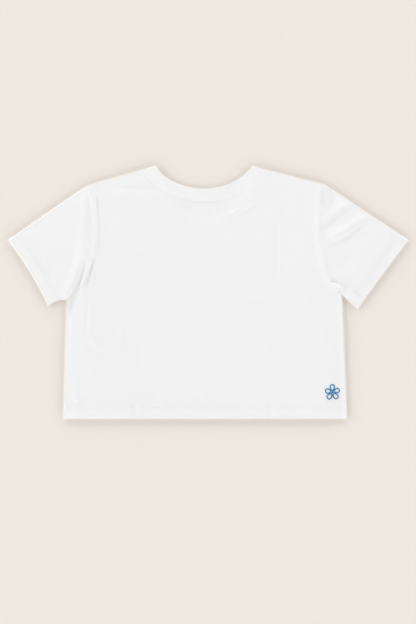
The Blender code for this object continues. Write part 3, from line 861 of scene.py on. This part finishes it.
def stitching(name, lines, radius, material):
    """The stitches along each line, on the upper face and on the underside."""
    starts, ends = [], []
    for upper_line, lower_line in lines:
        for line, face, above in (
            (upper_line, upper_face, ABOVE_CLOTH * radius),
            (lower_line, lambda x, y: 0 * x, ABOVE_TABLE * radius),
        ):
            start, end = row_of_stitches(line, face, above)
            starts.append(start)
            ends.append(end)
    return threads(name, np.vstack(starts), np.vstack(ends), radius, STITCH_ARCH * radius, material)


# Materials


class Nodes:
    """Short ways to add and join the nodes of one material."""

    def __init__(self, name):
        self.material = bpy.data.materials.new(name)
        self.material.use_nodes = True
        self.tree = self.material.node_tree
        self.shader = self.tree.nodes["Principled BSDF"]

    def add(self, kind, **settings):
        node = self.tree.nodes.new(kind)
        for key, value in settings.items():
            setattr(node, key, value)
        return node

    def join(self, output, socket):
        self.tree.links.new(output, socket)

    def math(self, operation, first, second=None, third=None):
        node = self.add("ShaderNodeMath", operation=operation)
        for socket, value in zip(node.inputs, (first, second, third)):
            if value is None:
                continue
            if isinstance(value, (int, float)):
                socket.default_value = value
            else:
                self.join(value, socket)
        return node.outputs[0]

    def noise(self, coordinates, scale, detail=2.0, roughness=0.5):
        node = self.add("ShaderNodeTexNoise")
        node.inputs["Scale"].default_value = scale
        node.inputs["Detail"].default_value = detail
        node.inputs["Roughness"].default_value = roughness
        self.join(coordinates, node.inputs["Vector"])
        return node.outputs["Fac"]

    def bump(self, height, distance, strength=1.0, below=None):
        node = self.add("ShaderNodeBump")
        node.inputs["Strength"].default_value = strength
        node.inputs["Distance"].default_value = distance
        self.join(height, node.inputs["Height"])
        if below is not None:
            self.join(below, node.inputs["Normal"])
        return node.outputs["Normal"]

    def coordinates(self):
        return self.add("ShaderNodeTexCoord").outputs["Object"]

    def colour(self, colour, shade):
        """Gives the surface this colour, made lighter or darker by a shade."""
        scaled = self.add("ShaderNodeVectorMath", operation="SCALE")
        scaled.inputs[0].default_value = colour
        self.join(shade, scaled.inputs["Scale"])
        self.join(scaled.outputs[0], self.shader.inputs["Base Color"])

    def finish(self, roughness, specular, sheen=0.0):
        """Sets the surface's numbers, and gives the material. The roughness may be an output."""
        if isinstance(roughness, float):
            self.shader.inputs["Roughness"].default_value = roughness
        else:
            self.join(roughness, self.shader.inputs["Roughness"])
        self.shader.inputs["Specular IOR Level"].default_value = specular
        self.shader.inputs["Sheen Weight"].default_value = sheen
        return self.material


def knitted(name, colour, turn, wale, course, roughness):
    """A matt knitted cloth whose columns of stitches lie turned from the Y axis."""
    nodes = Nodes(name)
    place = nodes.coordinates()
    mapping = nodes.add("ShaderNodeMapping")
    mapping.inputs["Rotation"].default_value = (0, 0, turn)
    nodes.join(place, mapping.inputs["Vector"])
    split = nodes.add("ShaderNodeSeparateXYZ")
    nodes.join(mapping.outputs["Vector"], split.inputs[0])

    # columns of small Vs: a ridge each side of every column, broken into slanted stitches
    column = nodes.math("MULTIPLY", split.outputs[0], 2 * math.pi / wale)
    ridge = nodes.math("ABSOLUTE", nodes.math("SINE", nodes.math("MULTIPLY", column, 0.5)))
    slant = nodes.math("MULTIPLY", nodes.math("ABSOLUTE", nodes.math("SINE", column)), 1.6)
    row = nodes.math("MULTIPLY_ADD", split.outputs[1], 2 * math.pi / course, slant)
    loop = nodes.math("MULTIPLY_ADD", nodes.math("SINE", row), 0.35, 0.65)
    knit = nodes.math("MULTIPLY", ridge, loop)

    # soft unevenness, then lint, under the stitches
    broad = nodes.bump(nodes.noise(place, 55, 2.5), 0.0011, 0.28)
    fuzz = nodes.bump(nodes.noise(place, 1400, 2.0), 0.00012, 0.5, below=broad)
    nodes.join(nodes.bump(knit, 0.00010, 0.6, below=fuzz), nodes.shader.inputs["Normal"])

    # the tone stored at the points, which holds the layers below and the painted shade in deep creases and
    # along folded edges, then clouds of thicker and thinner knit, and darker gaps
    tone = nodes.add("ShaderNodeAttribute", attribute_name="tone").outputs["Fac"]
    cloud = nodes.math("MULTIPLY_ADD", nodes.noise(place, 38, 3.0), 0.016, 0.992)
    gaps = nodes.math("MULTIPLY_ADD", knit, 0.022, 0.984)
    nodes.colour(colour, nodes.math("MULTIPLY", nodes.math("MULTIPLY", tone, cloud), gaps))

    rough = nodes.math("MULTIPLY_ADD", nodes.noise(place, 600, 2.0), 0.10, roughness - 0.05)
    nodes.shader.inputs["Sheen Roughness"].default_value = 0.45
    return nodes.finish(rough, specular=0.25, sheen=0.08)


def thread(name, colour, sheen):
    """Spun thread: a matt colour with a fine twist."""
    nodes = Nodes(name)
    twist = nodes.noise(nodes.coordinates(), 2600, 2.0)
    nodes.colour(colour, nodes.math("MULTIPLY_ADD", twist, 0.24, 0.88))
    nodes.join(nodes.bump(twist, 0.00006, 0.6), nodes.shader.inputs["Normal"])
    return nodes.finish(roughness=0.7, specular=0.35, sheen=sheen)


def pale_floor():
    nodes = Nodes("pale_floor")
    shade = nodes.math("MULTIPLY_ADD", nodes.noise(nodes.coordinates(), 90, 2.0), 0.004, 0.998)
    nodes.colour(FLOOR_COLOUR, shade)
    return nodes.finish(roughness=1.0, specular=0.0)


# How much lighter the cloth looks, or darker below 0: on the turned-up hem and cuffs, where it is single,
# towards the neck, on the left sleeve, beside the right side, towards the right, and painted shade along
# its folded edges; then on the neckband, at its left and as it comes to its right.
HEM_LIGHTER = 0.011
CUFF_LIGHTER = 0.002
SINGLE_LIGHTER = -0.022
UPWARDS_LIGHTER = 0.009
LEFT_SLEEVE_LIGHTER = 0.005
RIGHT_SIDE_LIGHTER = 0.032
RIGHTWARDS_LIGHTER = 0.004
# painted shade: the cloth's colour darkened along its folded edges, where it turns under
FOLDED_EDGE_PAINTED_SHADE = -0.12
RIB_LIGHTER = 0.022
RIB_RIGHTWARDS_LIGHTER = -0.030


def tone(x, y, z):
    """How light the cloth looks at each point, with painted shade in deep creases and along folded edges.
    """
    lightness = 1 + HEM_LIGHTER * hem_band(x, y) + CUFF_LIGHTER * cuff_band(x, y)
    lightness += SINGLE_LIGHTER * smooth_step(0.002, 0.014, -from_front_neck(x, y))
    # painted shade in the deep creases, on the upper layer only
    lightness += np.where(z > BASE / 2, fold_sum(TUCK_PAINTED_SHADE, x, y), 0)
    lightness += UPWARDS_LIGHTER * smooth_step(-0.05, 0.10, y)
    lightness += LEFT_SLEEVE_LIGHTER * smooth_step(0, 0.03, LEFT.armhole_lower[0] - x)
    from_right_side = distance_to(side_edge(RIGHT), x, y)[0]
    lightness += RIGHT_SIDE_LIGHTER * (1 - smooth_step(0.003, 0.015, from_right_side))
    lightness += RIGHTWARDS_LIGHTER * smooth_step(-0.10, 0.18, x)
    # painted shade along the folded edges
    return lightness + FOLDED_EDGE_PAINTED_SHADE * (1 - smooth_step(0.0002, 0.0014, from_folded_edges(x, y)))


def rib_tone(x, y, z):
    """How light the neckband looks at each point."""
    return tone(x, y, z) + RIB_LIGHTER + RIB_RIGHTWARDS_LIGHTER * smooth_step(-0.05, 0.09, x)


# The pieces


def cloth_pieces(jersey, left_jersey, right_jersey, rib):
    front = laid_cloth(
        "front_cloth",
        body_net(front_neck()[1], FRONT_SCOOP, *FRONT_LINES),
        lambda x, y: lower_face(x, y) + wall(x, y),
        lower_face,
        jersey,
        tone,
    )
    back = laid_cloth(
        "back_cloth",
        body_net(back_neck()[1], 0.0, *BACK_LINES),
        upper_face,
        lambda x, y: upper_face(x, y) - wall(x, y),
        jersey,
        tone,
    )
    sleeves = []
    for name, half, material in (
        ("left_sleeve_cloth", LEFT, left_jersey),
        ("right_sleeve_cloth", RIGHT, right_jersey),
    ):
        loops = [
            folded_loop(over, under, upper_face, lower_face, NEAR_FOLD, SLEEVE_LINES)
            for over, under in zip(sleeve_lines(half, 0.0), sleeve_lines(half, FRONT_SCOOP))
        ]
        sleeves.append(folded_tube(name, loops, half is RIGHT, material, tone))

    def ribs(count):
        """The ridges of the rib at each place along the band."""
        return RIB_HEIGHT * (0.5 + 0.5 * np.cos(2 * np.pi * np.arange(count) / SAMPLES_A_RIB))

    (free_over, seam_over), (free_under, seam_under) = back_neck(), front_neck()
    counts = [round(length_of(seam) / RIB_PITCH) * SAMPLES_A_RIB for seam in (seam_over, seam_under)]
    loops = [
        folded_loop(
            (1 - share) * free_over + share * seam_over,
            (1 - share) * free_under + share * seam_under,
            lambda x, y: upper_face(x, y) + RIB_STEP,
            lower_face,
            (),
            counts,
            ribs,
        )
        for share in ACROSS_RIB
    ]
    neckband = folded_tube("neckband_cloth", loops, True, rib, rib_tone)
    return front, back, *sleeves, neckband


def hem_lines():
    """The two rows along the hem, on the back and on the front."""
    for row in STITCH_ROWS:
        ends = []
        for half in (LEFT, RIGHT):
            aside = inward(half) * HEM_CLEAR_OF_SIDES
            ends.append(at_distances(side_edge(half), [row])[0] + (aside, 0))
        line = bezier(*ends, count=2)
        yield line, line


def cuff_lines(half):
    """The two rows round a cuff, on both of its layers."""
    upper = sleeve_lines(half, 0.0, STITCH_ROWS)
    lower = sleeve_lines(half, FRONT_SCOOP, STITCH_ROWS)
    for pair in zip(upper, lower):
        ends = [(CUFF_CLEAR_OF_FOLDS, length_of(line) - CUFF_CLEAR_OF_FOLDS) for line in pair]
        yield [at_distances(line, np.linspace(*end, LINE_POINTS)) for line, end in zip(pair, ends)]


# The small flower stitched above the hem: five petals drawn as loops, and a dot in the middle. Each
# petal's turn, how far out its middle lies, and its half length and half width.
BLUE = (0.022, 0.232, 0.440)
FLOWER_AT = (0.2303, -0.1860)
Petal = namedtuple("Petal", "turn middle long wide")
PETALS = (
    Petal(92, 0.0088, 0.0055, 0.0039),
    Petal(21, 0.0084, 0.0051, 0.0038),
    Petal(-51, 0.0087, 0.0054, 0.0041),
    Petal(-126, 0.0090, 0.0056, 0.0039),
    Petal(165, 0.0083, 0.0050, 0.0040),
)
PETAL_TAPER = 0.25
PETAL_POINTS = 200
STROKE = 0.0026
STROKE_SLANT = 0.39
THREAD_PITCH = 0.00046
THREAD_RADIUS = 0.00025
THREAD_ARCH = 0.00022
DOT = 0.0021
DOT_LEAST = 0.3


def flower(material):
    starts, ends = [], []
    centre = np.array(FLOWER_AT)
    for petal in PETALS:
        turn = math.radians(petal.turn)
        out = np.array((math.cos(turn), math.sin(turn)))
        across = np.array((-out[1], out[0]))
        t = np.linspace(0, 2 * np.pi, PETAL_POINTS)[:, None]
        aside = petal.wide * np.sin(t) * (1 - PETAL_TAPER * np.cos(t))
        line = centre + (petal.middle - petal.long * np.cos(t)) * out + aside * across
        count = round(length_of(line) / THREAD_PITCH)
        for side, found in ((1, starts), (-1, ends)):
            shares = (np.arange(count) + 0.5 + side * STROKE_SLANT) / count
            found.append(at_shares(moved_left(line, side * STROKE / 2), shares))
    rows = np.arange(-DOT, DOT, THREAD_PITCH)
    reach = np.sqrt(np.maximum(DOT**2 - rows**2, (DOT_LEAST * DOT) ** 2))
    starts.append(centre + np.column_stack([-reach, rows]))
    ends.append(centre + np.column_stack([reach, rows]))
    starts, ends = [
        np.column_stack([points, upper_face(*points.T)]) for points in map(np.vstack, (starts, ends))
    ]
    return threads("flower_motif", starts, ends, THREAD_RADIUS, THREAD_ARCH, material)


# Stage: the floor, then the shares of its light that come from the world, from the key lamp and from
# a ring of low lamps, which is a little stronger on one side. Turns and heights are in degrees.
FLOOR_COLOUR = (0.871, 0.812, 0.752)
FLOOR_REACH = 6.0
FLOOR_BELOW = 0.0002
WORLD_SHARE = 0.42
KEY_SHARE = 0.05
KEY_HEIGHT = 32
KEY_BREADTH = 30
KEY_TURN = 228
RING_SHARE = 0.53
RING_LAMPS = 8
RING_LEAN = 0.15
RING_TURN = 245
RING_HEIGHT = 9
RING_BREADTH = 18

# Camera
CAMERA_HEIGHT = 3.5
SENSOR = 36
FRAME_HEIGHT = 1.1613
FRAME_MIDDLE = (-0.0012, -0.0367)
FARTHEST = 50


def floor():
    """A wide pale floor, just under the garment."""
    shell = Shell()
    reach = np.linspace(-FLOOR_REACH, FLOOR_REACH, 5)
    x, y = np.meshgrid(reach, reach)
    shell.net(shell.add(np.stack([x, y, 0 * x - FLOOR_BELOW], axis=-1)))
    shell.finished("floor", pale_floor())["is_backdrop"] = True


def lights():
    """Soft light from above, a broad lamp at the upper left, and low ones all round."""
    world = bpy.data.worlds.new("soft_studio")
    bpy.context.scene.world = world
    world.use_nodes = True
    background = world.node_tree.nodes["Background"]
    background.inputs["Color"].default_value = (1, 1, 1, 1)
    background.inputs["Strength"].default_value = WORLD_SHARE
    sun("key", KEY_TURN, KEY_HEIGHT, KEY_BREADTH, KEY_SHARE)
    for index in range(RING_LAMPS):
        turn = 360 * index / RING_LAMPS
        lean = 1 + RING_LEAN * math.cos(math.radians(turn - RING_TURN))
        sun(f"ring_{index}", turn, RING_HEIGHT, RING_BREADTH, RING_SHARE / RING_LAMPS * lean)


def sun(name, turn, height, breadth, share):
    """A broad far lamp that gives the floor this share of its light."""
    data = bpy.data.lights.new(name, "SUN")
    data.angle = math.radians(breadth)
    data.energy = share * math.pi / math.sin(math.radians(height))
    lamp = bpy.data.objects.new(name, data)
    lamp.rotation_euler = (math.radians(90 - height), 0, math.radians(turn))
    bpy.context.scene.collection.objects.link(lamp)


def camera():
    """Straight above the garment, with a long lens."""
    data = bpy.data.cameras.new("camera")
    data.sensor_width = SENSOR
    data.lens = SENSOR * CAMERA_HEIGHT / FRAME_HEIGHT
    data.clip_end = FARTHEST
    data.dof.use_dof = False
    item = bpy.data.objects.new("camera", data)
    item.location = (*FRAME_MIDDLE, CAMERA_HEIGHT)
    bpy.context.scene.collection.objects.link(item)
    bpy.context.scene.camera = item


def main():
    bpy.context.scene.view_settings.view_transform = "Standard"
    jersey, left_jersey, right_jersey = [
        knitted(name, WHITE, math.radians(turn), *JERSEY_LOOP, 0.9)
        for name, turn in (("white_jersey", 0), ("white_jersey_left", -57), ("white_jersey_right", 54))
    ]
    rib = knitted("white_rib", RIB_WHITE, 0.0, *RIB_LOOP, 0.88)
    white_thread = thread("white_thread", THREAD_WHITE, sheen=0.1)
    blue_thread = thread("blue_thread", BLUE, sheen=0.05)

    front, back, left, right, neckband = cloth_pieces(jersey, left_jersey, right_jersey, rib)
    hem_stitches = stitching("hem_stitches", hem_lines(), HEM_THREAD, white_thread)
    left_stitches = stitching("left_cuff_stitches", cuff_lines(LEFT), CUFF_THREAD, white_thread)
    right_stitches = stitching("right_cuff_stitches", cuff_lines(RIGHT), CUFF_THREAD, white_thread)
    motif = flower(blue_thread)

    for piece, node in (
        (front, "front_panel"),
        (back, "back_panel"),
        (left, "left_sleeve"),
        (right, "right_sleeve"),
        (neckband, "neck_rib"),
    ):
        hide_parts(node)
    for piece in (front, back, left, right, neckband, hem_stitches, left_stitches, right_stitches, motif):
        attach(piece, "root")

    floor()
    lights()
    camera()


main()

boxes = {"cad": CAD_BOX, "visual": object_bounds()}
{name: [[float(value) for value in corner] for corner in box] for name, box in boxes.items()}
